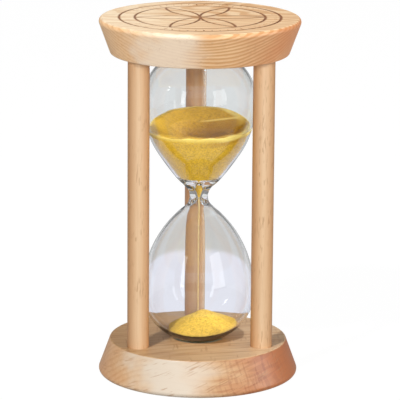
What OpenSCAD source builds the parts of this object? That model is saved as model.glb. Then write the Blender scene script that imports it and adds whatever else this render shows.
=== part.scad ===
// Sand timer: a blown glass body with running sand, held between two turned beech
// plates on three beech posts. Either plate can be the base.
// Frame: +Z up, origin at the centre of the base plate's outer face, rear post on +Y.

/* [Frame] */
// Overall height
total_h = 154; // [148:1:162]
// Largest diameter of a plate, just inside its outer face
plate_d = 85; // [82:0.5:92]
// Diameter of a plate at its inner face, before its rim is rounded
plate_inner_d = 75.4; // [74:0.2:80]
// Thickness of a plate
plate_t = 15; // [13:0.5:17]
// Rounding of a plate's outer rim
rim_r = 1.6; // [0.5:0.1:2.5]
// Rounding of a plate's inner rim
inner_rim_r = 0.9; // [0.4:0.1:1.5]

/* [Posts] */
// Diameter of a post
post_d = 9.2; // [8:0.1:10]
// Radius of the circle that the posts stand on
post_circle_r = 30.2; // [29.8:0.1:31]
// Depth of the blind socket that a post is glued into
socket_depth = 9; // [5:0.5:11]

/* [Glass] */
// Largest outer diameter of a bulb
bulb_d = 48; // [44:0.5:49]
// Height of a bulb's end dome, from its widest circle to its end
dome_h = 22; // [21:0.5:24]
// Radius of the bulb's flank, between neck and widest circle
flank_r = 48; // [46:0.5:52]
// Radius of the dome's shoulder
shoulder_r = 20; // [18:0.5:20.5]
// Wall of the bulb
wall = 1; // [1:0.1:1.6]
// Wall at the end of the dome, where the glass is gathered
end_wall = 1.6; // [1.5:0.1:2.6]
// Outer diameter at the neck
neck_d = 7.8; // [6:0.2:8]
// Diameter of the orifice
orifice_d = 1.4; // [1:0.1:2]
// Height of the thick glass around the orifice, on each side of it
funnel_h = 6.8; // [6:0.1:7.5]
// Diameter of the filling hole in the upper dome
port_d = 3.8; // [3:0.1:3.9]

/* [Seats] */
// How far a dome reaches into its plate
seat_in = 2; // [1.5:0.1:2.2]
// Diameter of the recess that takes the dome
recess_d = 22; // [21.6:0.1:24]
// Depth of that recess
recess_depth = 3; // [2.8:0.1:4]

/* [Sand] */
// Height of the rim of the sand left in the upper bulb, above the orifice
upper_level = 31.5; // [24:0.5:34]
// Slope of the crater in the upper sand, in degrees
repose = 30; // [26:1:34]
// Slope of the pile in the lower bulb, in degrees
pile_slope = 26; // [24:1:34]
// Height of the pile's tip above the end of the lower dome
pile_h = 14.4; // [10:0.2:16]

/* [Engraving] */
// Depth of the engraved lines in the top face
engrave_depth = 0.3; // [0.2:0.05:0.5]
// Outer radius of the engraved ring
ring_r = 34.4; // [33.6:0.2:35]
// Radius of the engraved six-petal rosette
rosette_r = 27; // [20:0.5:28]

/* [Hidden] */
$fn = 96;

beech = [0.87, 0.70, 0.50];
post_beech = [0.84, 0.64, 0.43];
clear_glass = [0.80, 0.88, 0.88, 0.35];
gold_sand = [0.88, 0.68, 0.20];
felt = [0.66, 0.70, 0.64];
bung_rubber = [0.93, 0.92, 0.88];

// Angles of the posts about Z.
left_angle = 210;
right_angle = 330;
rear_angle = 90;

// The glass is laid out by its distance from the orifice, which is at mid height.
mid_z = total_h / 2;
glass_half = mid_z - plate_t + seat_in;
widest = glass_half - dome_h;
bulb_r = bulb_d / 2;
glue_gap = 0.05;
pad_gap = 0.15;
pad_rim_gap = 0.4;
pad_h = recess_depth - 0.6;
sand_gap = 0.08;
arc_step = 3;
port_flat = 0.4;
plug_head_r = 3.6;
plug_head_t = 0.9;
plug_len = 3.4;
stream_d = 1;
funnel_power = 2.6;
funnel_steps = 10;
line_w = 0.8;
tick_w = 0.6;
tick_gap = 1;
tick_short = 1.6;
tick_long = 3.2;
tiny = 0.01;

// Points on an arc about c, from angle a to angle b.
function arc(c, r, a, b) =
    let (n = max(2, ceil(abs(b - a) / arc_step)))
    [for (i = [0:n]) let (t = a + (b - a) * i / n) c + r * [cos(t), sin(t)]];

// The same points in the other order.
function reversed(points) = [for (i = [len(points) - 1:-1:0]) points[i]];

// Distance below the widest circle of the centre of the cap that closes a dome of radius r,
// shoulder radius s and height h, so that cap and shoulder are tangent.
function cap_drop(r, s, h) = (pow(r - s, 2) - pow(h - s, 2)) / (2 * (h - s));

// Dome, from the widest circle to the axis: a shoulder arc, then a cap centred on the axis.
function dome(r, s, h) =
    let (drop = cap_drop(r, s, h), turn = atan2(drop, r - s))
    concat(
        arc([r - s, widest], s, 0, turn),
        arc([0, widest - drop], drop + h, turn, 90)
    );

// The flank's centre lies on the level of the widest circle. The neck's hollow arc is tangent to it.
flank_c = [bulb_r - flank_r, widest];
neck_x = neck_d / 2 - flank_c[0];
neck_r = (pow(neck_x, 2) + pow(widest, 2) - pow(flank_r, 2)) / (2 * (flank_r - neck_x));
neck_c = [neck_d / 2 + neck_r, 0];
flank_tilt = atan2(widest, neck_c[0] - flank_c[0]);

// Outside of a bulb, from the orifice's level to the end of the dome.
outer_line = concat(
    arc(neck_c, neck_r, 180, 180 - flank_tilt),
    arc(flank_c, flank_r, -flank_tilt, 0),
    dome(bulb_r, shoulder_r, dome_h)
);

// Inner radius of the flank at height h above the orifice.
function flank_inner(h) = flank_c[0] + sqrt(pow(flank_r - wall, 2) - pow(widest - h, 2));

// Inside of the thick glass: a funnel whose radius grows with a power of the height.
function funnel_radius(h) = orifice_d / 2
    + (flank_inner(funnel_h) - orifice_d / 2) * pow(h / funnel_h, funnel_power);

// Inside of a bulb, over the same way.
inner_line = concat(
    [for (i = [0:funnel_steps - 1]) let (h = funnel_h * i / funnel_steps) [funnel_radius(h), h]],
    arc(flank_c, flank_r - wall, asin((funnel_h - widest) / (flank_r - wall)), 0),
    dome(bulb_r - wall, shoulder_r - wall, dome_h - end_wall)
);

// Radius of the inside at height h, for the sand that fills it.
function inner_radius(h) = h < funnel_h ? funnel_radius(h) : flank_inner(h);

// Puts what is laid out from the orifice upwards into the upper bulb, or turned into the lower one.
module in_upper() { translate([0, 0, mid_z]) children(); }
module in_lower() { translate([0, 0, mid_z]) mirror([0, 0, 1]) children(); }

// Turned blank, outer face at z = 0, with both rims rounded. The side is the line from the
// inner face's edge that is tangent to the outer rim's rounding.
module plate_blank() {
    inner_r = plate_inner_d / 2;
    low = [plate_d / 2 - rim_r, rim_r];
    edge = [inner_r, plate_t] - low;
    lean = atan2(edge[1], edge[0]) - acos(rim_r / norm(edge));
    high = [inner_r - inner_rim_r * (1 - sin(lean)) / cos(lean), plate_t - inner_rim_r];
    rotate_extrude()
        polygon(concat(
            [[0, 0]],
            arc(low, rim_r, -90, lean),
            arc(high, inner_rim_r, lean, 90),
            [[0, plate_t]]
        ));
}

// Places its children at each post.
module at_posts() {
    for (angle = [left_angle, right_angle, rear_angle])
        rotate(angle) translate([post_circle_r, 0, 0]) children();
}

// Plate with its post sockets and the recess for the dome.
module plate() {
    difference() {
        plate_blank();
        at_posts()
            translate([0, 0, plate_t - socket_depth])
                cylinder(d = post_d + 2 * glue_gap, h = socket_depth + 1);
        translate([0, 0, plate_t - recess_depth])
            cylinder(d = recess_d, h = recess_depth + 1);
    }
}

// Six arcs through the centre, each about a point on the rosette's circle, which bounds them.
module rosette() {
    intersection() {
        cylinder(r = rosette_r, h = 1 + engrave_depth);
        for (i = [0:5])
            rotate(i * 60) translate([rosette_r, 0, 0]) ring_cut(rosette_r + line_w / 2);
    }
    ring_cut(rosette_r + line_w);
}

// Round groove with outer radius r.
module ring_cut(r) {
    difference() {
        cylinder(r = r, h = 1 + engrave_depth);
        translate([0, 0, -1]) cylinder(r = r - line_w, h = 3 + engrave_depth);
    }
}

// Minute ring and rosette, cut upwards from z = 0.
module engraving() {
    translate([0, 0, -1]) {
        ring_cut(ring_r);
        rosette();
        for (minute = [0:59]) {
            length = minute % 5 == 0 ? tick_long : tick_short;
            rotate(minute * 6)
                translate([ring_r - line_w - tick_gap - length, -tick_w / 2, 0])
                    cube([length, tick_w, 1 + engrave_depth]);
        }
    }
}

module base_plate() {
    color(beech) plate();
}

module top_plate() {
    color(beech)
        translate([0, 0, total_h])
            mirror([0, 0, 1])
                difference() {
                    plate();
                    engraving();
                }
}

// Straight dowel, standing on the bottoms of its two sockets.
module post(angle) {
    foot_z = plate_t - socket_depth + glue_gap;
    color(post_beech)
        rotate(angle)
            translate([post_circle_r, 0, foot_z])
                cylinder(d = post_d, h = total_h - 2 * foot_z);
}

// Felt ring in a recess, dished to the dome and open in the middle for the plug.
module pad() {
    cap_c = cap_drop(bulb_r, shoulder_r, dome_h);
    cap_r = cap_c + dome_h;
    color(felt)
        translate([0, 0, plate_t - recess_depth])
            rotate_extrude()
                difference() {
                    translate([plug_head_r + pad_rim_gap, 0])
                        square([recess_d / 2 - plug_head_r - 2 * pad_rim_gap, pad_h]);
                    translate([0, recess_depth - seat_in + cap_r])
                        circle(r = cap_r + pad_gap, $fn = 180);
                }
}

module lower_pad() { pad(); }

module upper_pad() {
    translate([0, 0, total_h]) mirror([0, 0, 1]) pad();
}

// Glass from the orifice to the end of the dome.
module bulb() {
    rotate_extrude()
        polygon(concat(outer_line, reversed(inner_line)));
}

module lower_bulb() {
    color(clear_glass) in_lower() bulb();
}

// The upper bulb's end is ground flat and bored for filling.
module upper_bulb() {
    color(clear_glass)
        in_upper()
            difference() {
                bulb();
                translate([0, 0, glass_half - end_wall - 1])
                    cylinder(d = port_d, h = end_wall + 2);
                translate([0, 0, glass_half - port_flat])
                    cylinder(r = bulb_r, h = 1);
            }
}

// Soft bung: a thin head on the ground face and a stem in the filling hole.
module filler_plug() {
    color(bung_rubber)
        in_upper()
            translate([0, 0, glass_half - port_flat]) {
                cylinder(r = plug_head_r, h = plug_head_t);
                translate([0, 0, -plug_len])
                    cylinder(d = port_d - 2 * glue_gap, h = plug_len + tiny);
            }
}

// Sand left above, with the crater that the flow has drawn in it.
module upper_sand() {
    levels = [for (h = [0:0.68:funnel_h - tiny]) h];
    sides = [for (h = [funnel_h:1.9:upper_level]) h];
    rim_x = inner_radius(upper_level) - sand_gap;
    lip = 0.6;
    color(gold_sand)
        in_upper()
            rotate_extrude()
                polygon(concat(
                    [[0, 0]],
                    [for (h = concat(levels, sides)) [inner_radius(h) - sand_gap, h]],
                    [[rim_x, upper_level]],
                    [[rim_x - lip, upper_level]],
                    [[0, upper_level - (rim_x - lip) * tan(repose)]]
                ));
}

// Falling thread of sand, from the orifice to the pile's tip.
module sand_stream() {
    fall = glass_half - pile_h;
    color(gold_sand)
        in_lower() cylinder(d = stream_d, h = fall);
}

// Pile in the lower dome: a cone with a blunt tip, cut off by the inside of the glass.
module lower_sand() {
    inner_drop = cap_drop(bulb_r - wall, shoulder_r - wall, dome_h - end_wall);
    floor_r = inner_drop + dome_h - end_wall;
    tip_z = glass_half - pile_h;
    tip_r = 1.2;
    cone_r = bulb_r - 4;
    color(gold_sand)
        in_lower()
            rotate_extrude()
                intersection() {
                    polygon([
                        [0, tip_z],
                        [tip_r, tip_z],
                        [cone_r, tip_z + (cone_r - tip_r) * tan(pile_slope)],
                        [cone_r, glass_half],
                        [0, glass_half]
                    ]);
                    translate([0, widest - inner_drop])
                        circle(r = floor_r - sand_gap, $fn = 180);
                }
}

base_plate();
top_plate();
post(left_angle);  // post_left
post(right_angle);  // post_right
post(rear_angle);  // post_rear
lower_pad();
upper_pad();
lower_bulb();
upper_bulb();
filler_plug();
upper_sand();
sand_stream();
lower_sand();
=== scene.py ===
"""Looks of a wooden desk hourglass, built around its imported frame: blown glass with a thick
neck, golden sand at one moment of its run, and waxed beech plates and posts."""

import math
from typing import NamedTuple

import bpy
import numpy as np
from bpy.props import FloatProperty, FloatVectorProperty, PointerProperty
from bpy.types import Operator, Panel, PropertyGroup
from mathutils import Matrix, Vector


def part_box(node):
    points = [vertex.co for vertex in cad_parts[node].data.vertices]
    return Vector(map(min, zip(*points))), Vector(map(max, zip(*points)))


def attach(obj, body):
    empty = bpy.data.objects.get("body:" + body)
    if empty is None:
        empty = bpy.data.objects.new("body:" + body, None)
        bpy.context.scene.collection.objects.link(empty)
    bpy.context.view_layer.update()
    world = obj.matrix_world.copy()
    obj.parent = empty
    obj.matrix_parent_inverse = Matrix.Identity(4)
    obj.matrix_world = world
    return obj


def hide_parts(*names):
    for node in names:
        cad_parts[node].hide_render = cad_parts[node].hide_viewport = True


bl_info = {
    "name": "Hourglass looks",
    "version": (1, 0, 0),
    "blender": (4, 5, 0),
    "location": "3D View > Sidebar > Hourglass",
    "description": "Glass, sand, felt and beech for a wooden desk hourglass",
    "category": "Object",
}

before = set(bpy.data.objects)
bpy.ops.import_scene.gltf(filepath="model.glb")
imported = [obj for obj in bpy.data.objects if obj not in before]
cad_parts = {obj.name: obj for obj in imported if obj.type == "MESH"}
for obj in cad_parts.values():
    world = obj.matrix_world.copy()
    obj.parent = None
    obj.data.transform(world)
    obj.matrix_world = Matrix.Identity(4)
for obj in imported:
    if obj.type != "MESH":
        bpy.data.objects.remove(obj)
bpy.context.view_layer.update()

POSTS = ("post_left", "post_right", "post_rear")

MM = 0.001
FULL_TURN = 2 * math.pi
# Distance of the lamps from the middle of the object and half the floor's width, in metres.
LAMP_DISTANCE = 1.5
FLOOR_HALF = 6.0


def low_high(node, axis=2):
    """Lowest and highest coordinate of a CAD node along one axis."""
    low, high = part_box(node)
    return low[axis], high[axis]


# Heights and radii that the frame gives, in metres.
GLASS_BOTTOM, NECK_Z = low_high("lower_bulb")
BULB_R = low_high("lower_bulb", 0)[1]
BASE_TOP = low_high("base_plate")[1]
TOP_Z = low_high("top_plate")[1]
MIDDLE = (0, 0, TOP_Z / 2)
HALF_GLASS = NECK_Z - GLASS_BOTTOM
PAD_BOTTOM, PAD_TOP = low_high("lower_pad")
PAD_R = low_high("lower_pad", 0)[1]
PLUG_R = low_high("filler_plug", 0)[1]
POST_R = (low_high("post_rear", 0)[1] - low_high("post_rear", 0)[0]) / 2

# The top plate's engraving in the frame, in millimetres: the outer radius of the outer ring, the
# radius of the rosette's arcs, the width of a line and the radius inside which all of it lies.
ENGRAVED_RING = 34.4
ENGRAVED_ROSETTE = 27.0
ENGRAVED_LINE = 0.8
ENGRAVED_LIMIT = 36.0


# ---------------------------------------------------------------- settings


def length(name, description, default):
    """A distance in metres."""
    return FloatProperty(name=name, description=description, default=default, unit="LENGTH",
                         precision=5)


def share(name, description, default):
    """A plain number."""
    return FloatProperty(name=name, description=description, default=default)


def colour(name, description, default):
    """A linear colour."""
    return FloatVectorProperty(name=name, description=description, default=default,
                               subtype="COLOR", size=3)


class GlassSettings(PropertyGroup):
    """Shape and tint of the blown glass."""

    flank_r: length("Flank radius", "Radius of the arc between neck and widest circle", 48 * MM)
    shoulder_r: length("Shoulder radius", "Radius of the arc above the widest circle", 20 * MM)
    dome_h: length("Dome height", "From the widest circle to the end", 22 * MM)
    neck_r: length("Neck radius", "Outer radius at the orifice's level", 3.9 * MM)
    wall: length("Wall", "Wall of the bulb", 0.85 * MM)
    end_wall: length("End wall", "Wall at the end of the dome", 1.6 * MM)
    orifice_r: length("Orifice radius", "Radius of the hole that the sand runs through", 0.5 * MM)
    funnel_h: length("Funnel height", "Height of the thick glass above the orifice", 8.8 * MM)
    cone_h: length("Cone height", "Height of the thick glass below the orifice", 7.4 * MM)
    cone_above: share("Cone above", "Widening of the hole above, as run over rise", 0.17)
    cone_below: share("Cone below", "Widening of the hole below, as run over rise", 0.95)
    flare_above: share("Flare above", "How suddenly the hole above opens out", 14.0)
    flare_below: share("Flare below", "How suddenly the hole below opens out", 4.0)
    slim: length("Slimming", "How far the upper flank is drawn in", 0.9 * MM)
    slim_z: length("Slimmed height", "Height above the orifice where it is drawn in", 14 * MM)
    slim_reach: length("Slimmed reach", "Height over which the slimming fades", 7 * MM)
    port_r: length("Port radius", "Radius of the filling hole", 1.9 * MM)
    port_flat: length("Ground end", "How much of the upper end is ground off", 0.4 * MM)
    lump: length("Neck lumps", "Height of the lumps that hand work leaves at the neck", 0.22 * MM)
    lump_z: length("Lump place", "Distance from the orifice where the lumps are highest", 4.5 * MM)
    lump_reach: length("Lump reach", "Distance over which the lumps fade", 2.6 * MM)
    lump_size: length("Lump size", "Distance from one lump to the next", 5.5 * MM)
    tint: colour("Tint", "Colour that a wall gives to what is seen through it", (0.985, 0.99, 0.99))


class SandSettings(PropertyGroup):
    """Shape and colour of the sand, and of the light and shade painted on it."""

    rim_z: length("Rim height", "Mean height of the upper sand's rim", 108.0 * MM)
    tilt_x: share("Tilt along X", "Rise of the rim along X", 0.03)
    tilt_y: share("Tilt along Y", "Rise of the rim along Y", 0.115)
    saddle: length("Saddle", "How much higher the rim is in front and behind", 0.7 * MM)
    crater: share("Crater slope", "Slope of the crater, as rise over run", 0.66)
    scarp: length("Scarp", "How far the crater's right rear wall drops", 5.0 * MM)
    gap: length("Gap", "Space between grains and glass", 0.08 * MM)
    contact: length("Contact", "How far the sand above is pressed against the glass", 0.04 * MM)
    pile_x: length("Tip along X", "Place of the pile's tip along X", 2.4 * MM)
    pile_z: length("Tip height", "Height of the pile's tip", 26.8 * MM)
    pile_slope: share("Pile slope", "Mean slope of the pile, as rise over run", 0.55)
    pile_lean: share("Pile lean", "How much steeper the pile is on the left", 0.09)
    pile_blunt: length("Blunt tip", "Rounding of the pile's tip", 2.2 * MM)
    stream_r: length("Stream radius", "Radius of the falling sand", 0.36 * MM)
    grain: length("Grain", "Mean size of a grain", 0.42 * MM)
    # One sand: the colour above is darker and more orange than the colour below. This is painted shade
    # above and painted light below.
    gold: colour("Gold", "Colour of the sand above", (0.80, 0.50, 0.008))
    bright: colour("Bright gold", "Colour of the sand below", (0.88, 0.58, 0.065))
    thread: colour("Thread", "Colour of the falling sand", (0.84, 0.66, 0.32))
    # Painted highlight and painted light, not finer grains: this pale colour goes on the rim, the ridge and
    # the left and right ends of the sand above.
    pale: colour("Pale sand", "Colour of the fine grains that lie highest", (0.98, 0.80, 0.22))
    # Painted shade, not coarser grains: this colour darkens the hollow and the inside of the crater of the
    # sand above.
    hollow: colour("Hollow", "Colour of the coarse grains in the hollow", (0.50, 0.25, 0.002))


class PadSettings(PropertyGroup):
    """Fit and colours of the felt rings and the bung."""

    hole: length("Hole", "Space between the bung and a felt ring", 0.45 * MM)
    fuzz: length("Fuzz", "Height of the hairs on the felt", 0.04 * MM)
    felt_dark: colour("Dark felt", "Colour between the hairs", (0.30, 0.36, 0.29))
    felt_light: colour("Light felt", "Colour of the hairs", (0.50, 0.56, 0.46))
    bung_dark: colour("Dark bung", "Colour of the bare silicone", (0.78, 0.77, 0.72))
    bung_light: colour("Light bung", "Colour of the silicone's bloom", (0.88, 0.87, 0.83))


class WoodSettings(PropertyGroup):
    """Colours of the beech, and of the shade and sheen painted on it."""

    pale: colour("Pale", "Colour of the early wood", (0.80, 0.52, 0.28))
    deep: colour("Deep", "Colour of the late wood", (0.62, 0.32, 0.13))
    fleck: colour("Fleck", "Colour of the rays", (0.42, 0.20, 0.08))
    blush: colour("Blush", "Colour of the reddish heart", (0.57, 0.17, 0.042))
    # Painted sheen, not sapwood: this pale colour goes on a patch on each plate's side, where the waxed
    # wood would catch the lamp.
    painted_sheen: colour("Cream", "Colour of the palest sapwood", (0.82, 0.70, 0.56))
    hatch: colour("Hatch", "Colour of the cross grain in the reddish heart", (0.30, 0.075, 0.018))
    # Painted light on the posts: the edge colour below is painted shade on their left and right sides, and
    # the next colour is their paler wood with painted sheen, mixed half into them all over.
    edge: colour("Edge grain", "Colour of a dowel where its rings stand on edge", (0.60, 0.28, 0.10))
    satin_sheen: colour("Satin", "Colour of the posts' palest wood", (0.74, 0.55, 0.36))
    scorch: colour("Scorch", "Colour of the burnt engraving", (0.25, 0.09, 0.03))
    # Painted light on the plates' upper faces, as tints, not browning or bleaching: on the base, painted
    # shade on the left turning to painted sheen on the right; on the top plate, painted sheen, strongest on
    # the left.
    base_shade_left: colour("Worn left", "Browning of the base's upper face, on the left", (0.70, 0.65, 0.53))
    base_sheen_right: colour("Worn right", "Browning of the base's upper face, on the right", (1.07, 1.17, 1.33))
    top_sheen_left: colour("Bare left", "Bleaching of the top face, on the left", (1.14, 1.44, 1.90))
    top_sheen_right: colour("Bare right", "Bleaching of the top face, on the right", (1.06, 1.18, 1.34))


class StageSettings(PropertyGroup):
    """Camera, floor and lamps."""

    azimuth: share("Azimuth", "Camera's direction round the object, in degrees", -2.93)
    elevation: share("Elevation", "Camera's height above the horizon, in degrees", 13.34)
    distance: length("Distance", "From the camera to the middle of the object", 1.2728)
    aim_z: length("Aim", "Height that the camera looks at", 75.2 * MM)
    lens: share("Lens", "Focal length in millimetres", 269.5)
    roll: share("Roll", "Camera's lean about its own axis, in degrees", 0.42)
    aim_x: length("Aim aside", "How far to the right the camera looks", 0.5 * MM)
    key: share("Key", "Power of the key lamp, in watts", 15.0)
    fill: share("Fill", "Power of the fill lamp, in watts", 3.2)
    front: share("Front", "Power of the front lamp, in watts", 4.6)
    side: share("Side", "Power of the lamp that edges the wood, in watts", 7.2)
    posts: share("Post light", "Power of the lamp for the posts, in watts", 10.5)
    overhead: share("Overhead", "Power of the lamp above the top plate, in watts", 4.9)
    rim: share("Rim", "Power of the lamp that edges the rear post, in watts", 52.0)
    rim_tint: colour("Rim tint", "Colour of the lamp that edges the rear post", (0.46, 0.76, 1.0))
    sand_light: share("Sand light", "Power of the lamp for the sand, in watts", 10.5)
    sand_front: share("Sand front", "Power of the low lamp for the sand, in watts", 6.0)
    window: share("Window", "Power of the broad highlight on the glass, in watts", 3.2)
    strip: share("Strip", "Power of the upright highlight on the glass, in watts", 1.2)
    slit: share("Slit", "Power of the thin highlight on the glass, in watts", 0.5)
    horizon: share("Horizon", "Strength of the surrounding light at the horizon", 0.27)
    zenith: share("Zenith", "Strength of the surrounding light overhead", 0.3)
    bounce: share("Bounce", "Share of the floor's own light that reaches the object", 0.40)
    mirrored: share("Mirrored", "Share of the floor's own light that is mirrored", 0.35)
    near_floor: colour("Near floor", "Floor close to the object, as seen through glass", (0.85, 0.86, 0.96))
    mid_floor: colour("Middle floor", "Floor further off, as seen through glass", (0.64, 0.64, 0.63))
    far_floor: colour("Far floor", "Far floor, as seen through glass", (0.765, 0.785, 0.79))


class HourglassSettings(PropertyGroup):
    """All sizes and colours of the hourglass's looks."""

    glass: PointerProperty(type=GlassSettings)
    sand: PointerProperty(type=SandSettings)
    pads: PointerProperty(type=PadSettings)
    wood: PointerProperty(type=WoodSettings)
    stage: PointerProperty(type=StageSettings)


def settings():
    """The scene's settings."""
    return bpy.context.scene.hourglass


# ---------------------------------------------------------------- surfaces


def closed_surface(name, rings):
    """Mesh from rings of points, an array of shape (rows, columns, 3). Each ring is closed round its
    columns, and the first and last rings are single points on the axis, where fans of triangles
    close the surface. Faces point outwards when the rows run up the outside."""
    rows, columns = rings.shape[:2]
    points = np.concatenate([rings[0, :1], rings[1:-1].reshape(-1, 3), rings[-1, :1]])
    column = np.arange(columns)
    after = np.roll(column, -1)
    row = np.arange(rows - 3)[:, None] * columns + 1
    quads = np.stack([row + column, row + after, row + after + columns, row + column + columns], -1)
    last = len(points) - 1
    top = last - columns
    first_fan = np.stack([np.zeros(columns, int), after + 1, column + 1], -1)
    last_fan = np.stack([np.full(columns, last), top + column, top + after], -1)
    faces = [*quads.reshape(-1, 4).tolist(), *first_fan.tolist(), *last_fan.tolist()]
    mesh = bpy.data.meshes.new(name)
    mesh.from_pydata(points.tolist(), [], faces)
    mesh.polygons.foreach_set("use_smooth", np.ones(len(faces), bool))
    mesh.update()
    return mesh


def add_piece(mesh, material, body, slot, *nodes):
    """Puts a mesh into the scene as a piece that rides on a body and stands for CAD nodes."""
    piece = bpy.data.objects.new(mesh.name, mesh)
    bpy.context.scene.collection.objects.link(piece)
    mesh.materials.append(material)
    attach(piece, body)
    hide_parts(*nodes)


def paint(node, material):
    """Gives a CAD node's object this material in every slot."""
    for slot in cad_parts[node].material_slots:
        slot.material = material


def arc(centre, radius, start, end, count):
    """Points on an arc: the centre plus the radius times the cosine and sine of angles spread
    evenly from start to end, in degrees."""
    angle = np.radians(np.linspace(start, end, count))
    return np.stack([centre[0] + radius * np.cos(angle), centre[1] + radius * np.sin(angle)], -1)


def turn(profile, columns):
    """Rings of a turned surface: each profile point (radius, height) goes once round the axis."""
    angle = np.arange(columns) / columns * FULL_TURN
    radius, height = profile[:, :1], profile[:, 1:]
    return np.stack([radius * np.cos(angle), radius * np.sin(angle), height + 0 * angle], -1)


def smoothstep(low, high, value):
    """0 below low, 1 above high, and the cubic 3t^2 - 2t^3 in between."""
    t = np.clip((value - low) / (high - low), 0, 1)
    return t * t * (3 - 2 * t)


def ripple(x, y, z, wavelength, seed):
    """Smooth noise of about -1 to 1: the sum of a few sines of a point's coordinates over the root
    of their number, in directions and phases drawn once from the seed."""
    draw = np.random.default_rng(seed)
    total = 0.0
    count = 6
    for _ in range(count):
        wave = draw.normal(size=3)
        wave *= FULL_TURN / (wavelength * np.linalg.norm(wave))
        phase = draw.uniform(0, FULL_TURN)
        total = total + np.sin(x * wave[0] + y * wave[1] + z * wave[2] + phase)
    return total / math.sqrt(count)


class BulbShape:
    """Outline of the upper or the lower bulb, by its distance from the orifice."""

    def __init__(self, glass, upper):
        self.g = glass
        self.slim = glass.slim if upper else 0.0
        self.thick_h = glass.funnel_h if upper else glass.cone_h
        self.cone = glass.cone_above if upper else glass.cone_below
        self.flare = glass.flare_above if upper else glass.flare_below
        self.widest = HALF_GLASS - glass.dome_h
        self.flank_x = BULB_R - glass.flank_r
        reach = glass.neck_r - self.flank_x
        self.fillet = (reach**2 + self.widest**2 - glass.flank_r**2) / (2 * (glass.flank_r - reach))
        self.tilt = math.degrees(math.atan2(self.widest, glass.neck_r + self.fillet - self.flank_x))

    def dome(self, radius, shoulder, height, steps):
        """Shoulder arc and cap arc, tangent to each other, from the widest circle to the axis."""
        drop = ((radius - shoulder) ** 2 - (height - shoulder) ** 2) / (2 * (height - shoulder))
        edge = math.degrees(math.atan2(drop, radius - shoulder))
        return np.concatenate([
            arc((radius - shoulder, self.widest), shoulder, 0, edge, steps)[1:],
            arc((0, self.widest - drop), drop + height, edge, 90, steps)[1:],
        ])

    def drawn_in(self, height):
        """How far the flank is drawn in at a height: a bell curve about the middle of the slope."""
        return self.slim * np.exp(-((height - self.g.slim_z) / self.g.slim_reach) ** 2)

    def outer(self):
        """Outside, from the orifice's level to the end of the dome: hollow neck arc, flank arc,
        dome."""
        g = self.g
        line = np.concatenate([
            arc((g.neck_r + self.fillet, 0), self.fillet, 180, 180 - self.tilt, 14),
            arc((self.flank_x, self.widest), g.flank_r, -self.tilt, 0, 60)[1:],
            self.dome(BULB_R, g.shoulder_r, g.dome_h, 30),
        ])
        line[:, 0] -= self.drawn_in(line[:, 1]) * (line[:, 0] > g.neck_r)
        return line

    def inner_radius(self, height):
        """Inside radius: a cone that flares out at the end of the thick glass, then the flank's arc,
        set in by the wall."""
        g = self.g
        inner = g.flank_r - g.wall
        thick = self.thick_h
        flank = self.flank_x + np.sqrt(inner**2 - (self.widest - np.maximum(height, thick)) ** 2)
        flank = flank - self.drawn_in(np.maximum(height, thick))
        mouth = self.flank_x + math.sqrt(inner**2 - (self.widest - thick) ** 2) - self.drawn_in(thick)
        share_up = np.clip(height / thick, 0, 1)
        opened = mouth - g.orifice_r - self.cone * thick
        funnel = g.orifice_r + self.cone * height + opened * share_up**self.flare
        return np.where(height < thick, funnel, flank)

    def inner(self):
        """Inside, from the orifice to the axis at the end of the dome."""
        g = self.g
        low = np.linspace(0, self.thick_h, 36)
        high = np.linspace(self.thick_h, self.widest, 60)[1:]
        heights = np.concatenate([low, high])
        side = np.stack([self.inner_radius(heights), heights], -1)
        dome = self.dome(BULB_R - g.wall, g.shoulder_r - g.wall, g.dome_h - g.end_wall, 30)
        return np.concatenate([side, dome])

    def floor_height(self, radius):
        """Height of the lower dome's inside above the origin, at a distance from the axis."""
        g = self.g
        dome = self.dome(BULB_R - g.wall, g.shoulder_r - g.wall, g.dome_h - g.end_wall, 60)
        depth = np.interp(radius, dome[::-1, 0], dome[::-1, 1])
        return NECK_Z - depth


def glass_mesh():
    """One closed wall: up the outside from the lower end to the ground upper end, through the
    filling hole, and down the inside. Near the neck both sides are pushed in and out by smooth
    noise that fades with the distance from the orifice."""
    g = settings().glass
    upper, lower = BulbShape(g, True), BulbShape(g, False)
    outer, inner = upper.outer(), upper.inner()
    below = np.array([1, -1])
    centre = np.array([0, NECK_Z])
    end = HALF_GLASS - g.port_flat
    above = outer[outer[:, 1] < end]
    cap_r = np.interp(end, outer[-40:, 1], outer[-40:, 0])
    inside = inner[inner[:, 0] > g.port_r]
    bevel = 0.15 * MM
    port_low = inside[-1, 1] + 0.1 * MM
    port = np.array([
        [cap_r, end], [g.port_r + bevel, end], [g.port_r, end - bevel], [g.port_r, port_low],
    ])
    profile = np.concatenate([
        centre + lower.outer()[::-1] * below,
        centre + above[1:],
        centre + port,
        centre + inside[::-1],
        centre + lower.inner()[1:] * below,
    ])
    rings = turn(profile, 168)
    x, y, z = rings[..., 0], rings[..., 1], rings[..., 2]
    away = np.abs(z - NECK_Z)
    radius = np.maximum(np.hypot(x, y), 1 * MM)
    at_lumps = np.exp(-((away - g.lump_z) / g.lump_reach) ** 2)
    push = 1 + g.lump * at_lumps * ripple(x, y, z, g.lump_size, 4) / radius
    rings[..., :2] *= push[..., None]
    return closed_surface("glass_body", rings)


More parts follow.
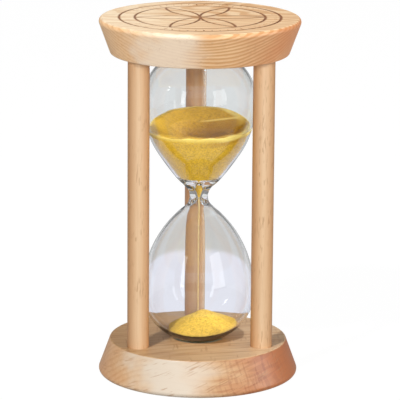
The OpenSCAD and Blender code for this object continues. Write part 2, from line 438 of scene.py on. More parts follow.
def upper_sand_mesh():
    """Sand left above: up the glass from the orifice to a tilted rim, then in over a lip and down a
    crater. The crater is a cone with a scarp on its right rear side, plus smooth noise."""
    s = settings().sand
    shape = BulbShape(settings().glass, True)
    columns = 192
    angle = np.arange(columns) / columns * FULL_TURN
    right, back = np.cos(angle), np.sin(angle)
    waver, waver_length = 0.12 * MM, 18 * MM
    loose, pressed = 3 * MM, 1 * MM
    narrow_lip, wide_lip = 1.6 * MM, 3.2 * MM
    lip_rounding = 0.8 * MM
    scarp_behind, scarp_right = 15.5 * MM, 21 * MM
    uneven, uneven_length = 0.3 * MM, 9 * MM
    lowest = NECK_Z + 9 * MM

    rim_r = shape.inner_radius(s.rim_z - NECK_Z) - s.gap
    rim_z = s.rim_z + rim_r * (s.tilt_x * right + s.tilt_y * back) - s.saddle * np.cos(2 * angle)
    rim_z = rim_z + waver * ripple(rim_r * right, rim_r * back, 0, waver_length, 3)

    up = np.linspace(0, 1, 110)[:, None] ** 1.2
    z_wall = NECK_Z + up * (rim_z - NECK_Z)
    near_rim = smoothstep(loose, pressed, rim_z - z_wall)
    r_wall = shape.inner_radius(z_wall - NECK_Z) + s.contact * near_rim - s.gap * (1 - near_rim)
    wall = np.stack([r_wall * right, r_wall * back, z_wall], -1)

    edge_r = shape.inner_radius(rim_z - NECK_Z) + s.contact
    inwards = np.linspace(1, 0, 90)[1:, None]
    r = inwards * edge_r
    x, y = r * right, r * back
    in_front = smoothstep(-0.2, 1, -np.sin(angle + 0.5))
    fall = np.maximum(edge_r - r - narrow_lip - (wide_lip - narrow_lip) * in_front, 0)
    hollow = s.crater * fall * fall / (fall + lip_rounding)
    scarp_r = scarp_behind + (scarp_right - scarp_behind) * smoothstep(1.35, 0.2, angle)
    on_scarp = smoothstep(-0.5, 0.25, np.cos(angle - 0.55))
    drop = s.scarp * on_scarp * smoothstep(0.4 * MM, -1.6 * MM, r - scarp_r)
    z = rim_z * inwards + s.rim_z * (1 - inwards) - hollow - drop
    z = z + inwards * uneven * ripple(x, y, 0, uneven_length, 5)
    top = np.stack([x, y, np.maximum(z, lowest)], -1)

    rings = np.concatenate([wall, top])
    start = np.zeros((1, columns, 3))
    start[..., 2] = NECK_Z
    return closed_surface("sand_above", np.concatenate([start, rings]))


def lower_sand_mesh():
    """Pile in the lower dome: a cone with a rounded tip whose slope changes with the direction,
    over the inside of the glass. Its edge, where the two meet, is found by halving. Rows run from
    the glass under the tip outwards and back up."""
    s = settings().sand
    shape = BulbShape(settings().glass, False)
    columns = 160
    angle = np.arange(columns) / columns * FULL_TURN
    slope = s.pile_slope - s.pile_lean * np.cos(angle)
    reach = np.linspace(0, 1, 80)[:, None]
    bulge_height, bulge_length, even_r = 0.35 * MM, 11 * MM, 6 * MM

    def pile(r):
        bulge = ripple(r * np.cos(angle), r * np.sin(angle), 0, bulge_length, 8)
        fall = slope * (np.sqrt(r**2 + s.pile_blunt**2) - s.pile_blunt)
        return s.pile_z - fall + bulge_height * bulge * smoothstep(0, even_r, r)

    def floor(r):
        x, y = s.pile_x + r * np.cos(angle), r * np.sin(angle)
        return shape.floor_height(np.hypot(x, y)) + s.gap

    halvings = 30
    low, high = np.zeros(columns), np.full(columns, 22 * MM)
    for _ in range(halvings):
        middle = (low + high) / 2
        over = pile(middle[None])[0] > floor(middle[None])[0]
        low, high = np.where(over, middle, low), np.where(over, high, middle)
    r = reach * low
    x, y = s.pile_x + r * np.cos(angle), r * np.sin(angle)
    under = np.stack([x, y, floor(r)], -1)
    over = np.stack([x, y, np.maximum(pile(r), floor(r))], -1)[::-1]
    return closed_surface("sand_below", np.concatenate([under, over[1:]]))


def stream_mesh():
    """Falling thread from the orifice to the pile: a thin round column that narrows as it speeds
    up, roughened by noise as grains bunch."""
    s = settings().sand
    columns = 16
    buried = 0.3 * MM
    taper, bunching, bunch_length = 0.3, 0.14, 0.9 * MM
    z = np.linspace(s.pile_z - buried, NECK_Z, 220)
    fallen = (NECK_Z - z) / (NECK_Z - s.pile_z)
    radius = s.stream_r * (1 - taper * np.sqrt(np.clip(fallen, 0, 1)))
    rings = turn(np.stack([radius, z], -1), columns)
    rough = 1 + bunching * ripple(rings[..., 0], rings[..., 1], rings[..., 2], bunch_length, 2)
    rings[..., :2] *= rough[..., None]
    ends = rings[[0, -1]] * np.array([0, 0, 1])
    return closed_surface("sand_thread", np.concatenate([ends[:1], rings, ends[1:]]))


def pad_mesh(name, upside_down):
    """Felt ring: a turned section with flat bottom, rounded edges and a top that is dished to the
    sphere of the glass's end, its surface lifted by fine noise."""
    g, pads = settings().glass, settings().pads
    hole = PLUG_R + pads.hole
    clear = 0.2 * MM
    skin = 0.05 * MM
    past_shoulder = g.dome_h - g.shoulder_r
    cap_r = ((BULB_R - g.shoulder_r) ** 2 - past_shoulder**2) / (2 * past_shoulder) + g.dome_h
    r = np.linspace(hole, PAD_R - 0.5 * MM, 40)
    dish = GLASS_BOTTOM + cap_r - np.sqrt((cap_r + clear) ** 2 - r**2)
    top = np.minimum(PAD_TOP - skin, dish)
    out = np.linspace(hole + clear, PAD_R - 0.3 * MM, 20)
    bottom = np.stack([out, 0 * out + PAD_BOTTOM], -1)
    side_z = np.linspace(PAD_BOTTOM + 0.25 * MM, top[-1] - 0.25 * MM, 8)
    side = np.stack([0 * side_z + PAD_R - skin, side_z], -1)
    over = np.stack([r, top], -1)[::-1]
    bore_z = np.linspace(top[0] - clear, PAD_BOTTOM + clear, 6)
    bore = np.stack([0 * bore_z + hole - 0.02 * MM, bore_z], -1)
    rings = turn(np.concatenate([bottom, side, over, bore]), 160)
    hair_length = 0.8 * MM
    hairs = pads.fuzz * ripple(rings[..., 0], rings[..., 1], rings[..., 2], hair_length, 6)
    above_bottom = rings[..., 2] > PAD_BOTTOM + 0.1 * MM
    rings[..., 2] += np.maximum(hairs, 0) - pads.fuzz * above_bottom
    rings[..., 2] = np.maximum(rings[..., 2], PAD_BOTTOM)
    if upside_down:
        rings[..., 2] = TOP_Z - rings[..., 2]
        rings = rings[:, ::-1]
    return ring_surface(name, rings)


def ring_surface(name, rings):
    """Mesh from rings of points that is closed both ways, as a torus is."""
    rows, columns = rings.shape[:2]
    column, row = np.arange(columns), np.arange(rows)[:, None] * columns
    after, below = np.roll(column, -1), np.roll(np.arange(rows), -1)[:, None] * columns
    quads = np.stack([row + column, row + after, below + after, below + column], -1)
    mesh = bpy.data.meshes.new(name)
    mesh.from_pydata(rings.reshape(-1, 3).tolist(), [], quads.reshape(-1, 4).tolist())
    mesh.polygons.foreach_set("use_smooth", np.ones(rows * columns, bool))
    mesh.update()
    return mesh


# ---------------------------------------------------------------- shader maths


class Value:
    """An output socket. Arithmetic on it adds Math nodes to its tree."""

    def __init__(self, tree, socket):
        self.tree, self.socket = tree, socket

    def math(self, operation, *terms):
        """A Math node on these terms, which are sockets or numbers."""
        return self.tree.add("ShaderNodeMath", {"operation": operation}, *terms)

    def __add__(self, other):
        return self.math("ADD", self, other)

    def __radd__(self, other):
        return self.math("ADD", other, self)

    def __sub__(self, other):
        return self.math("SUBTRACT", self, other)

    def __rsub__(self, other):
        return self.math("SUBTRACT", other, self)

    def __mul__(self, other):
        return self.math("MULTIPLY", self, other)

    def __rmul__(self, other):
        return self.math("MULTIPLY", other, self)

    def __truediv__(self, other):
        return self.math("DIVIDE", self, other)

    def __rtruediv__(self, other):
        return self.math("DIVIDE", other, self)

    def __pow__(self, other):
        return self.math("POWER", self, other)

    def fraction(self):
        """What is after the decimal point."""
        return self.math("FRACT", self)

    def size(self):
        """Its size without its sign."""
        return self.math("ABSOLUTE", self)

    def step(self, low, high):
        """0 below low and 1 above high, with a smooth rise, or the reverse where low is above high."""
        rising = low < high
        ends = (low, high, 0.0, 1.0) if rising else (high, low, 1.0, 0.0)
        return self.tree.add("ShaderNodeMapRange", {"interpolation_type": "SMOOTHSTEP"}, self, *ends)


class Tree:
    """The node tree of a material or a world."""

    def __init__(self, owner, end="ShaderNodeOutputMaterial"):
        owner.use_nodes = True
        self.owner = owner
        self.nodes, self.links = owner.node_tree.nodes, owner.node_tree.links
        self.nodes.clear()
        self.end = self.nodes.new(end)

    def add(self, kind, options=None, *values, out=0, **named):
        """Adds a node. Options are its settings and are set first. Values go to its inputs in order
        and named ones by name, as sockets or constants."""
        node = self.nodes.new(kind)
        for option, setting in (options or {}).items():
            setattr(node, option, setting)
        shown = [i for i in node.inputs if i.enabled]
        for socket, value in zip(shown, values):
            self.give(socket, value)
        for name, value in named.items():
            wanted = name.replace("_", " ")
            self.give(next(i for i in shown if i.name == wanted), value)
        outputs = [o for o in node.outputs if o.enabled]
        found = outputs[out] if isinstance(out, int) else next(o for o in outputs if o.name == out)
        return Value(self, found)

    def give(self, socket, value):
        """Links a socket to a value, or sets it to a constant."""
        if isinstance(value, Value):
            self.links.new(value.socket, socket)
        elif value is not None:
            four = socket.type == "RGBA" and len(value) == 3
            socket.default_value = (*value, 1.0) if four else value

    def place(self, turn_by=(0, 0, 0), move_by=(0, 0, 0)):
        """Object coordinates in millimetres, turned by degrees and then moved by millimetres."""
        point = self.add("ShaderNodeTexCoord", out="Object")
        scaled = self.add("ShaderNodeVectorMath", {"operation": "SCALE"}, point, Scale=1000.0)
        angles = tuple(math.radians(a) for a in turn_by)
        return self.add("ShaderNodeMapping", None, scaled, move_by, angles)

    def split(self, point):
        """The three coordinates of a point."""
        made = self.add("ShaderNodeSeparateXYZ", None, point)
        return [Value(self, o) for o in made.socket.node.outputs]

    def stretch(self, point, x, y, z):
        """A point with its coordinates divided by these lengths."""
        shares = (1 / x, 1 / y, 1 / z)
        return self.add("ShaderNodeVectorMath", {"operation": "MULTIPLY"}, point, shares)

    def noise(self, point, scale=1.0, detail=2.0, roughness=0.5):
        """Smooth noise about 0.5."""
        return self.add("ShaderNodeTexNoise", None, point, scale, detail, roughness)

    def mix(self, factor, first, second, blend="MIX"):
        """Mixes two colours."""
        return self.add(
            "ShaderNodeMix", {"data_type": "RGBA", "blend_type": blend, "clamp_factor": True},
            Factor=factor, A=first, B=second,
        )

    def bump(self, height, distance, strength=1.0):
        """A normal from a height between 0 and 1 that stands for this distance in metres."""
        return self.add("ShaderNodeBump", None, Strength=strength, Distance=distance, Height=height)

    def finish(self, shader):
        """Ends the tree with a shader."""
        self.links.new(shader.socket, self.end.inputs["Surface"])
        return self.owner


def new_material(name):
    """The empty tree of a new material."""
    return Tree(bpy.data.materials.new(name))


# ---------------------------------------------------------------- materials


class Board(NamedTuple):
    """How a piece of beech was cut and finished, and the light and shade painted on it. Lengths are in
    millimetres.
    """

    turn_by: tuple  # degrees that bring the fibres along X
    pith: float  # how far below lies the middle of the tree
    ring: float  # width of a growth ring
    ring_depth: float  # how dark the rings end
    move_by: tuple = (0, 0, 0)
    rings_from: float = None  # where along X the rings begin to show, or everywhere
    patches: tuple = ()  # (middle along X, reach, colour, strength) each
    face: float = None  # height of the upper face, on which shade and sheen are painted, if it has one
    painted_face_light: tuple = ()  # tints for the painted shade and sheen on the upper face, on its left and on its right
    face_lines: float = 0.0  # strength of the dark streaks on it
    dowel_at: float = None  # place along Y of a dowel's axis
    tone: float = 1.0  # share of the wood's colours that it keeps: below 1 a darker copy as painted shade, above 1 a lighter copy as painted light
    flecks: float = 0.5  # strength of the rays
    fleck_size: tuple = (3.6, 0.3, 0.4)  # length, depth and width of a ray
    slanted: bool = False  # whether the rays lie aslant of the fibres, with a cross grain
    scorched: bool = False  # whether it has the burnt engraving
    wax: tuple = (0.35, 0.38)  # weight and roughness of the coat


def growth_rings(t, point, board):
    """How dark a point is by its place in its growth ring, which ends in a thin dark line, and its
    ring's own strength. The rings are cylinders about the pith, bent by a slow warp."""
    warp = t.noise(t.stretch(point, 70, 26, 26), detail=2.0)
    _, y, z = t.split(point)
    from_pith = ((z + board.pith) ** 2.0 + y ** 2.0) ** 0.5
    along_rings = (from_pith + (warp - 0.5) * 9.0) / board.ring
    phase = along_rings.fraction()
    late = phase.step(0.35, 0.9) * phase.step(1.0, 0.92)
    numbered = t.add("ShaderNodeCombineXYZ", None, along_rings, 0.0, 0.0)
    return late, t.noise(numbered, 0.8, 1.0)


def cross_grain(t, across, cloud):
    """Short strokes across the fibres and bands along them, in the reddish heart only."""
    strokes = t.noise(t.stretch(t.place((0, 20, 0)), 0.9, 12, 5), detail=0.0).step(0.54, 0.62)
    bands = t.noise(t.stretch(t.place((0, 12, 0)), 12, 12, 1.1), detail=0.0).step(0.54, 0.62)
    heart = (across + (cloud - 0.5) * 20.0).step(-4.0, 24.0) * across.step(42.0, 26.0)
    return (strokes + bands) * heart


def rays(t, point, board):
    """Dashes where the tree's rays reach the surface, thicker in some places than in others."""
    dash = t.place((0, 24, 0)) if board.slanted else point
    ribbon = t.noise(t.stretch(dash, *board.fleck_size), detail=0.0)
    where = t.noise(t.stretch(point, 12, 6, 8), detail=1.0)
    return ribbon.step(0.64, 0.72) * where.step(0.35, 0.62)


def beech(name, board):
    """Waxed beech: growth rings, fibres, streaks and clouds between a pale and a deep tone, then
    a dowel's painted shade at its sides and painted sheen in front, the board's patches (the pale ones
    painted sheen), cross grain, rays, painted shade and sheen on the upper face, and engraving."""
    w = settings().wood
    t = new_material(name)

    def toned(shade):
        return tuple(c * board.tone for c in shade)

    point = t.place(board.turn_by, board.move_by)
    across, back, height_up = t.split(t.place())
    on_upper_face = height_up.step(board.face - 0.5, board.face - 0.05) if board.face else 0.0
    late, each_ring = growth_rings(t, point, board)
    fibre = t.noise(t.stretch(point, 7, 0.3, 0.3), detail=3.0, roughness=0.65)
    streak = t.noise(t.stretch(point, 30, 1.3, 1.3), detail=2.0)
    cloud = t.noise(t.stretch(point, 40, 9, 9), detail=2.0)

    shown = late * board.ring_depth * (0.3 + 1.2 * each_ring)
    if board.rings_from is not None:
        blurred = across + (cloud - 0.5) * 20.0
        past = blurred.step(board.rings_from - 9.0, board.rings_from + 9.0)
        shown = shown * (0.25 + 0.75 * past)
    depth = shown + (fibre - 0.5) * 0.8 + (streak - 0.5) * 0.9 + (cloud - 0.5) * 0.6
    shade = t.mix(depth + 0.2, toned(w.pale), toned(w.deep))

    if board.dowel_at is not None:
        # Painted shade and sheen on a dowel: half of its colour is a paler tone, as painted sheen in front,
        # and it turns to the edge colour on its left and right, as painted shade.
        shade = t.mix(0.5, shade, toned(w.satin_sheen))
        painted_side_shade = (1.0 - ((back - board.dowel_at) / (POST_R / MM)) ** 2.0) ** 0.6
        shade = t.mix(painted_side_shade * 0.85, shade, tuple(w.edge))
    # Patches: the blush ones are the wood's reddish heart, and the pale ones are painted sheen.
    for middle, reach, spot, strength in board.patches:
        from_middle = (across - middle + (cloud - 0.5) * 26.0).size()
        inside = from_middle.step(reach, reach * 0.2) * (1.0 - on_upper_face)
        shade = t.mix(inside * strength, shade, toned(spot))
    if board.slanted:
        shade = t.mix(cross_grain(t, across, cloud) * (1.0 - on_upper_face) * 0.32, shade, tuple(w.hatch))
    fleck = rays(t, point, board)
    shade = t.mix(fleck * board.flecks, shade, tuple(w.fleck))
    if board.face:
        lines = streak.step(0.55, 0.68) * on_upper_face
        shade = t.mix(lines * board.face_lines, shade, tuple(w.fleck))
        # Painted shade and sheen: the upper face's colour is multiplied by a tint that runs from its left
        # to its right.
        left, right = (tuple(tint) for tint in board.painted_face_light)
        painted_face_tint = t.mix(across.step(-40.0, 15.0), left, right)
        shade = t.mix(on_upper_face, shade, t.mix(1.0, shade, painted_face_tint, "MULTIPLY"))
    rough = 0.40 + fibre * 0.16
    if board.scorched:
        burnt = engraved(t, height_up)
        shade = t.mix(burnt * (0.9 + 0.3 * (fibre - 0.5)), shade, tuple(w.scorch))
        rough = rough + burnt * 0.2
    height = fibre * 0.6 - fleck * 0.8 - late * 0.2
    grain_depth = 0.06 * MM
    shader = t.add(
        "ShaderNodeBsdfPrincipled", None, Base_Color=shade, Roughness=rough,
        Coat_Weight=board.wax[0], Coat_Roughness=board.wax[1],
        Normal=t.bump(height, grain_depth, 0.8),
    )
    return t.finish(shader)


def engraved(t, height_up):
    """1 in the engraved grooves, and a lighter burn on the wood beside them. The grooves are rings
    about the axis and six arcs whose centres lie on a circle of their own radius."""
    point = t.place()
    x, y, _ = t.split(point)
    radius = (x ** 2.0 + y ** 2.0) ** 0.5
    top = TOP_Z / MM
    near_top = height_up.step(top - 0.5, top - 0.35)
    sunk = height_up.step(top - 0.1, top - 0.2)
    floor = sunk * near_top * radius.step(ENGRAVED_LIMIT, ENGRAVED_LIMIT - 0.5)
    line = ENGRAVED_LINE / 2
    rosette = ENGRAVED_ROSETTE
    flat = t.add("ShaderNodeVectorMath", {"operation": "MULTIPLY"}, point, (1.0, 1.0, 0.0))
    outside = radius.step(rosette, rosette + 0.5) * 9.0
    off = (radius - (ENGRAVED_RING - line)).size()
    off = off.math("MINIMUM", off, (radius - (rosette + line)).size())
    for petal in range(6):
        angle = math.radians(60 * petal)
        centre = (rosette * math.cos(angle), rosette * math.sin(angle), 0.0)
        reach = t.add("ShaderNodeVectorMath", {"operation": "DISTANCE"}, flat, centre, out="Value")
        off = off.math("MINIMUM", off, (reach - rosette).size() + outside)
    halo_width = 0.55
    halo = off.step(line + halo_width, line) * near_top
    return floor.math("MAXIMUM", floor, halo * (0.55 + x.step(-20.0, 15.0) * 0.25))


def clear_glass():
    """Clear glass that lets lamps through, so that the sand inside is lit."""
    g = settings().glass
    t = new_material("clear_glass")
    glass = t.add(
        "ShaderNodeBsdfPrincipled", None, Base_Color=tuple(g.tint), Roughness=0.0, IOR=1.5,
        Transmission_Weight=1.0,
    )
    lit = t.add("ShaderNodeBsdfTransparent", None, (1.0, 1.0, 1.0))
    shadow = t.add("ShaderNodeLightPath", out="Is Shadow Ray")
    diffuse = t.add("ShaderNodeLightPath", out="Is Diffuse Ray")
    bounced = t.add("ShaderNodeMixShader", None, diffuse, glass, lit)
    return t.finish(t.add("ShaderNodeMixShader", None, shadow, bounced, lit))


def upper_sand_painted_light(t, body):
    """Painted light and shade on the sand above, as tones by place: a painted highlight in a thin pale line
    along the rim where it meets the glass, painted light on the pale left and right ends, a painted
    highlight along a ridge that is the cut of a tilted plane, and painted shade in the hollow in front of
    that ridge and, fainter, all over the crater's inside. Lengths are in millimetres, and edge is the rim's
    radius."""
    s = settings().sand
    x, y, z = t.split(t.place())
    above_rim = z - (s.rim_z / MM + x * s.tilt_x + y * s.tilt_y)
    near_top = above_rim.step(-2.2, -1.0)
    radius = (x ** 2.0 + y ** 2.0) ** 0.5
    edge = 22.3
    on_top = (above_rim + 1.2 + (edge - radius) * 1.1).step(-0.3, 0.5)
    inside = radius.step(22.0, 21.0) * on_top
    above_crest = z + y * 0.24 - x * 0.1 - 109.6
    span = x.step(-1.0, 6.0) * x.step(19.5, 17.0) * inside
    # Painted shade: the hollow in front of the ridge, and more faintly the whole inside of the crater, are
    # darkened.
    hollow = above_crest.step(0.1, -0.7) * span
    body = t.mix(inside * 0.2 + hollow * 0.45, body, tuple(s.hollow))
    # Painted light: the left and right ends of the top are paled.
    painted_lit_slopes = (x.step(-9.0, -18.0) * 0.3 + x.step(15.0, 19.0)) * on_top
    # Painted highlight: a thin pale line along the ridge.
    painted_crest_highlight = above_crest.size().step(0.6, 0.1) * span
    body = t.mix(painted_lit_slopes * 0.6 + painted_crest_highlight * 0.8, body, tuple(s.pale))
    # Painted highlight: a pale line along the rim, where the sand meets the glass, wider on the right.
    rim = (radius + x.step(4.0, 18.0) * 1.8).step(20.4, 21.8)
    return t.mix(near_top * rim * 0.9, body, tuple(s.pale))


def grains(name, shade, share_left, coarse=1.0, painted_light_of=None):
    """Loose sand: cells the size of a grain, each with its own tone and facing. The dark grains keep
    this share of the light ones' colour. The function given last, if any, adds painted highlights and
    painted shade by place."""
    t = new_material(name)
    point = t.place()
    size = settings().sand.grain / MM * coarse
    cell = t.stretch(point, size, size, size)
    darker = (shade[0] * share_left, shade[1] * share_left * 0.88, shade[2] * share_left * 0.7)
    tone = t.add("ShaderNodeTexVoronoi", {"feature": "F1"}, cell, out="Color", Scale=1.0)
    tones = t.add("ShaderNodeSeparateColor", None, tone)
    crown = t.add("ShaderNodeTexVoronoi", {"feature": "F1"}, cell, out="Distance", Scale=1.0)
    drift = t.noise(t.stretch(point, 7, 7, 7), detail=2.0)
    dark = tones.step(0.35, 1.0) * 0.9 + (drift - 0.5) * 0.4
    body = t.mix(dark, shade, darker)
    light = tones.step(0.25, 0.02)
    body = t.mix(light * 0.5, body, tuple(min(1.0, c * 1.1 + 0.06) for c in shade))
    if painted_light_of:
        body = painted_light_of(t, body)
    grain_depth = 0.22 * MM
    shader = t.add(
        "ShaderNodeBsdfPrincipled", None, Base_Color=body, Roughness=0.55, IOR=1.45,
        Normal=t.bump(1.0 - crown, grain_depth, 0.8),
    )
    return t.finish(shader)


def felt():
    """Pressed grey-green felt with short tangled hairs."""
    pads = settings().pads
    t = new_material("pressed_felt")
    point = t.place()
    hair = t.noise(t.stretch(point, 0.5, 0.12, 0.2), detail=3.0, roughness=0.7)
    clump = t.noise(t.stretch(point, 2, 2, 2), detail=2.0)
    shade = t.mix(hair * 0.7 + clump * 0.4 - 0.1, tuple(pads.felt_dark), tuple(pads.felt_light))
    hair_depth = 0.1 * MM
    shader = t.add(
        "ShaderNodeBsdfPrincipled", None, Base_Color=shade, Roughness=0.95, Sheen_Weight=0.3,
        Normal=t.bump(hair, hair_depth, 0.8),
    )
    return t.finish(shader)


def soft_rubber():
    """Milky silicone with a faint bloom."""
    pads = settings().pads
    t = new_material("soft_rubber")
    point = t.place()
    bloom = t.noise(t.stretch(point, 1.2, 1.2, 1.2), detail=3.0)
    shade = t.mix(bloom, tuple(pads.bung_dark), tuple(pads.bung_light))
    rough = 0.38 + bloom * 0.2
    return t.finish(t.add("ShaderNodeBsdfPrincipled", None, Base_Color=shade, Roughness=rough))


def floor_material():
    """Pale matt floor, which glows evenly so that the backdrop stays pale. Through glass it is a
    pale table in front of a grey wall that gets lighter upwards, and it gives back less of its
    glow as bounced and mirrored light."""
    st = settings().stage
    t = new_material("pale_floor")

    def glow(shade, strength):
        return t.add("ShaderNodeEmission", None, tuple(shade), strength)

    def blend(factor, first, second):
        return t.add("ShaderNodeMixShader", None, factor, first, second)

    white = (1.0, 1.0, 1.0)
    x, y, _ = t.split(t.add("ShaderNodeTexCoord", out="Object"))
    away = (x ** 2.0 + y ** 2.0) ** 0.5
    seen = glow(white, 0.97)
    table, low_wall, high_wall = (glow(c, 0.95) for c in (st.near_floor, st.mid_floor, st.far_floor))
    given, mirrored = glow(white, st.bounce), glow(white, st.mirrored)
    wall = blend(away.step(0.25, 0.5), low_wall, high_wall)
    behind = blend(away.step(0.205, 0.222), table, wall)
    for ray, light in (
        ("Is Transmission Ray", behind), ("Is Reflection Ray", mirrored), ("Is Diffuse Ray", given),
    ):
        seen = blend(t.add("ShaderNodeLightPath", out=ray), seen, light)
    matt = t.add("ShaderNodeBsdfDiffuse", None, (0.05, 0.05, 0.05))
    return t.finish(t.add("ShaderNodeAddShader", None, seen, matt))


# ---------------------------------------------------------------- operators


class HOURGLASS_OT_glass(Operator):
    """Make the blown glass body"""

    bl_idname = "hourglass.glass"
    bl_label = "Glass body"

    def execute(self, context):
        add_piece(glass_mesh(), clear_glass(), "glass", "bulb_glass", "lower_bulb", "upper_bulb")
        return {"FINISHED"}


class HOURGLASS_OT_sand(Operator):
    """Make the sand above, the falling thread and the pile"""

    bl_idname = "hourglass.sand"
    bl_label = "Sand"

    def execute(self, context):
        s = settings().sand
        # The sand above gets painted highlights and painted shade by place.
        above = grains("gold_sand", tuple(s.gold), 0.7, painted_light_of=upper_sand_painted_light)
        # The sand below is a lighter copy of the same sand, as painted light.
        below = grains("bright_sand", tuple(s.bright), 0.64, 1.1)
        thread = grains("thread_sand", tuple(s.thread), 0.8)
        add_piece(upper_sand_mesh(), above, "glass", "sand", "upper_sand")
        add_piece(lower_sand_mesh(), below, "glass", "sand", "lower_sand")
        add_piece(stream_mesh(), thread, "glass", "sand", "sand_stream")
        return {"FINISHED"}


class HOURGLASS_OT_felt(Operator):
    """Make the two felt rings"""

    bl_idname = "hourglass.felt"
    bl_label = "Felt rings"

    def execute(self, context):
        material = felt()
        add_piece(pad_mesh("felt_below", False), material, "frame", "felt", "lower_pad")
        add_piece(pad_mesh("felt_above", True), material, "frame", "felt", "upper_pad")
        return {"FINISHED"}


class HOURGLASS_OT_plug(Operator):
    """Finish the bung of the filling hole"""

    bl_idname = "hourglass.plug"
    bl_label = "Bung"

    def execute(self, context):
        paint("filler_plug", soft_rubber())
        return {"FINISHED"}


class HOURGLASS_OT_plates(Operator):
    """Finish the two beech plates"""

    bl_idname = "hourglass.plates"
    bl_label = "Plates"

    def execute(self, context):
        w = settings().wood
        # The pale patches on both plates are painted sheen.
        top = Board(
            turn_by=(14, 11, -10), move_by=(0, 0, -125), pith=55, ring=1.7, ring_depth=2.0,
            rings_from=-6.0, patches=((-15, 18, w.painted_sheen, 0.7), (50, 44, w.blush, 0.65)),
            # The face tints here are painted sheen.
            face=TOP_Z / MM, painted_face_light=(w.top_sheen_left, w.top_sheen_right), face_lines=0.15,
            # A lighter copy of the beech, as painted light.
            tone=1.12, flecks=0.25, scorched=True, wax=(0.15, 0.38),
        )
        base = Board(
            turn_by=(52, 10, -6), pith=45, ring=2.4, ring_depth=0.4,
            patches=((-13, 24, w.painted_sheen, 0.95), (42, 40, w.blush, 1.0), (-52, 26, w.blush, 0.35)),
            # The face tints here are painted shade on the left and painted sheen on the right.
            face=BASE_TOP / MM, painted_face_light=(w.base_shade_left, w.base_sheen_right), face_lines=0.5,
            # A darker copy of the beech, as painted shade.
            tone=0.86, flecks=0.55, fleck_size=(6.0, 9.0, 0.45), slanted=True,
        )
        paint("top_plate", beech("beech_top", top))
        paint("base_plate", beech("beech_base", base))
        return {"FINISHED"}


class HOURGLASS_OT_posts(Operator):
    """Finish the three beech posts"""

    bl_idname = "hourglass.posts"
    bl_label = "Posts"

    def execute(self, context):
        dowel = Board(turn_by=(0, 90, 0), pith=50, ring=2.2, ring_depth=0.3, wax=(0.12, 0.38))
        all_over = (0, 200, settings().wood.blush, 0.2)
        # The rear post is a darker, redder copy of the posts' wood, as painted shade.
        darker = dowel._replace(tone=0.82, patches=(all_over,), wax=(1.0, 0.2))
        for node in POSTS:
            board = darker if node == "post_rear" else dowel
            axis_y = sum(low_high(node, 1)) / 2 / MM
            paint(node, beech(f"beech_{node}", board._replace(dowel_at=axis_y)))
        return {"FINISHED"}


def studio_world(st):
    """A dim room, with one strength of light at the horizon and another overhead."""
    world = bpy.data.worlds.new("studio")
    bpy.context.scene.world = world
    t = Tree(world, "ShaderNodeOutputWorld")
    _, _, up = t.split(t.add("ShaderNodeTexCoord", out="Generated"))
    low = t.add("ShaderNodeBackground", None, (1.0, 1.0, 1.0), st.horizon)
    high = t.add("ShaderNodeBackground", None, (1.0, 1.0, 1.0), st.zenith)
    t.finish(t.add("ShaderNodeMixShader", None, up.step(0.2, 0.65), low, high))


def aim(thing, target):
    """Turns a lamp or the camera, which look along their -Z, to face a point."""
    thing.rotation_euler = (Vector(target) - thing.location).to_track_quat("-Z", "Y").to_euler()


def around(azimuth, elevation, distance, centre):
    """A point at this distance from the centre. Azimuth 0 is towards -Y and 90 towards +X."""
    a, e = math.radians(azimuth), math.radians(elevation)
    towards = Vector((math.sin(a) * math.cos(e), -math.cos(a) * math.cos(e), math.sin(e)))
    return Vector(centre) + distance * towards


class Softbox(NamedTuple):
    """A rectangular lamp that faces the middle of the object. It lights only these pieces, where
    state is INCLUDE, or all but these, where it is EXCLUDE."""

    name: str
    azimuth: float
    elevation: float
    size: tuple
    power: float
    state: str
    pieces: tuple
    tint: tuple = (1.0, 1.0, 1.0)


def add_lamp(box):
    """Puts a softbox into the scene."""
    light = bpy.data.lights.new(box.name, "AREA")
    light.shape = "RECTANGLE"
    light.size, light.size_y = box.size
    light.energy = box.power
    light.color = box.tint
    lamp = bpy.data.objects.new(box.name, light)
    bpy.context.scene.collection.objects.link(lamp)
    lamp.location = around(box.azimuth, box.elevation, LAMP_DISTANCE, MIDDLE)
    aim(lamp, MIDDLE)
    receivers = bpy.data.collections.new(f"lit_by_{box.name}")
    for piece in box.pieces:
        receivers.objects.link(bpy.data.objects[piece])
    for entry in receivers.collection_objects:
        entry.light_linking.link_state = box.state
    lamp.light_linking.receiver_collection = receivers


def softboxes(st):
    """All the lamps."""
    glass, sand = ("glass_body",), ("sand_above", "sand_below")
    return (
        Softbox("key", -35, 46, (0.12, 0.12), st.key, "EXCLUDE", glass + POSTS),
        Softbox("fill", 43, 25, (0.8, 0.9), st.fill, "EXCLUDE", glass),
        Softbox("front", -4, 9, (0.6, 0.6), st.front, "EXCLUDE", glass),
        Softbox("side", 82, 12, (0.4, 0.6), st.side, "EXCLUDE", glass + POSTS),
        Softbox("post_light", 1, 20, (0.3, 0.3), st.posts, "INCLUDE", POSTS),
        Softbox("overhead", 40, 80, (0.6, 0.6), st.overhead, "INCLUDE", ("top_plate",)),
        Softbox("rim", 115, 8, (0.12, 0.9), st.rim, "INCLUDE", ("post_rear",), st.rim_tint),
        Softbox("sand_light", 92, 27, (0.3, 0.3), st.sand_light, "INCLUDE", sand),
        Softbox("sand_front", 0, 6, (0.3, 0.3), st.sand_front, "INCLUDE", sand),
        Softbox("window", 42, 17, (0.7, 0.92), st.window, "INCLUDE", glass),
        Softbox("strip", -37, 17, (0.22, 0.85), st.strip, "INCLUDE", glass),
        Softbox("slit", -78, 31, (0.05, 0.42), st.slit, "INCLUDE", glass),
    )


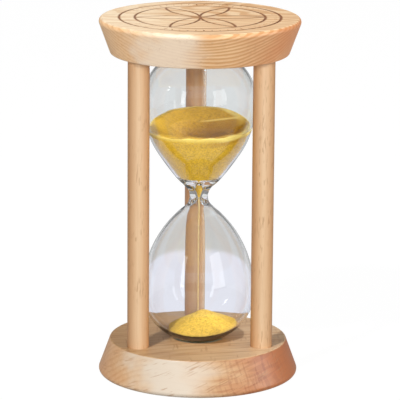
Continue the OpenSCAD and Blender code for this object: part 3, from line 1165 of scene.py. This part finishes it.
def add_floor():
    """A square floor under the object."""
    h = FLOOR_HALF
    mesh = bpy.data.meshes.new("floor")
    mesh.from_pydata([(-h, -h, 0), (h, -h, 0), (h, h, 0), (-h, h, 0)], [], [(0, 1, 2, 3)])
    mesh.materials.append(floor_material())
    floor = bpy.data.objects.new("floor", mesh)
    bpy.context.scene.collection.objects.link(floor)


class HOURGLASS_OT_stage(Operator):
    """Make the floor, the lamps and the camera"""

    bl_idname = "hourglass.stage"
    bl_label = "Stage"

    def execute(self, context):
        st = settings().stage
        scene = context.scene
        scene.view_settings.view_transform = "Standard"

        add_floor()
        for box in softboxes(st):
            add_lamp(box)
        studio_world(st)

        camera = bpy.data.objects.new("camera", bpy.data.cameras.new("camera"))
        scene.collection.objects.link(camera)
        camera.data.lens = st.lens
        camera.location = around(st.azimuth, st.elevation, st.distance, MIDDLE)
        aim(camera, (st.aim_x, 0, st.aim_z))
        camera.rotation_euler.rotate_axis("Z", math.radians(st.roll))
        scene.camera = camera
        return {"FINISHED"}


class HOURGLASS_PT_panel(Panel):
    """Lists the makers of the hourglass's pieces"""

    bl_label = "Hourglass"
    bl_space_type = "VIEW_3D"
    bl_region_type = "UI"
    bl_category = "Hourglass"

    def draw(self, context):
        for maker in MAKERS:
            self.layout.operator(maker.bl_idname)


MAKERS = (
    HOURGLASS_OT_glass,
    HOURGLASS_OT_sand,
    HOURGLASS_OT_felt,
    HOURGLASS_OT_plug,
    HOURGLASS_OT_plates,
    HOURGLASS_OT_posts,
    HOURGLASS_OT_stage,
)
GROUPS = (
    GlassSettings, SandSettings, PadSettings, WoodSettings, StageSettings, HourglassSettings,
)
CLASSES = (*GROUPS, *MAKERS, HOURGLASS_PT_panel)


def register():
    """Adds the classes and the scene's settings."""
    for cls in CLASSES:
        bpy.utils.register_class(cls)
    bpy.types.Scene.hourglass = PointerProperty(type=HourglassSettings)


def unregister():
    """Removes the settings and the classes."""
    del bpy.types.Scene.hourglass
    for cls in reversed(CLASSES):
        bpy.utils.unregister_class(cls)


def main():
    """Makes every piece in order."""
    register()
    bpy.ops.hourglass.plates()
    bpy.ops.hourglass.posts()
    bpy.ops.hourglass.felt()
    bpy.ops.hourglass.plug()
    bpy.ops.hourglass.glass()
    bpy.ops.hourglass.sand()
    bpy.ops.hourglass.stage()


if __name__ == "__main__":
    main()
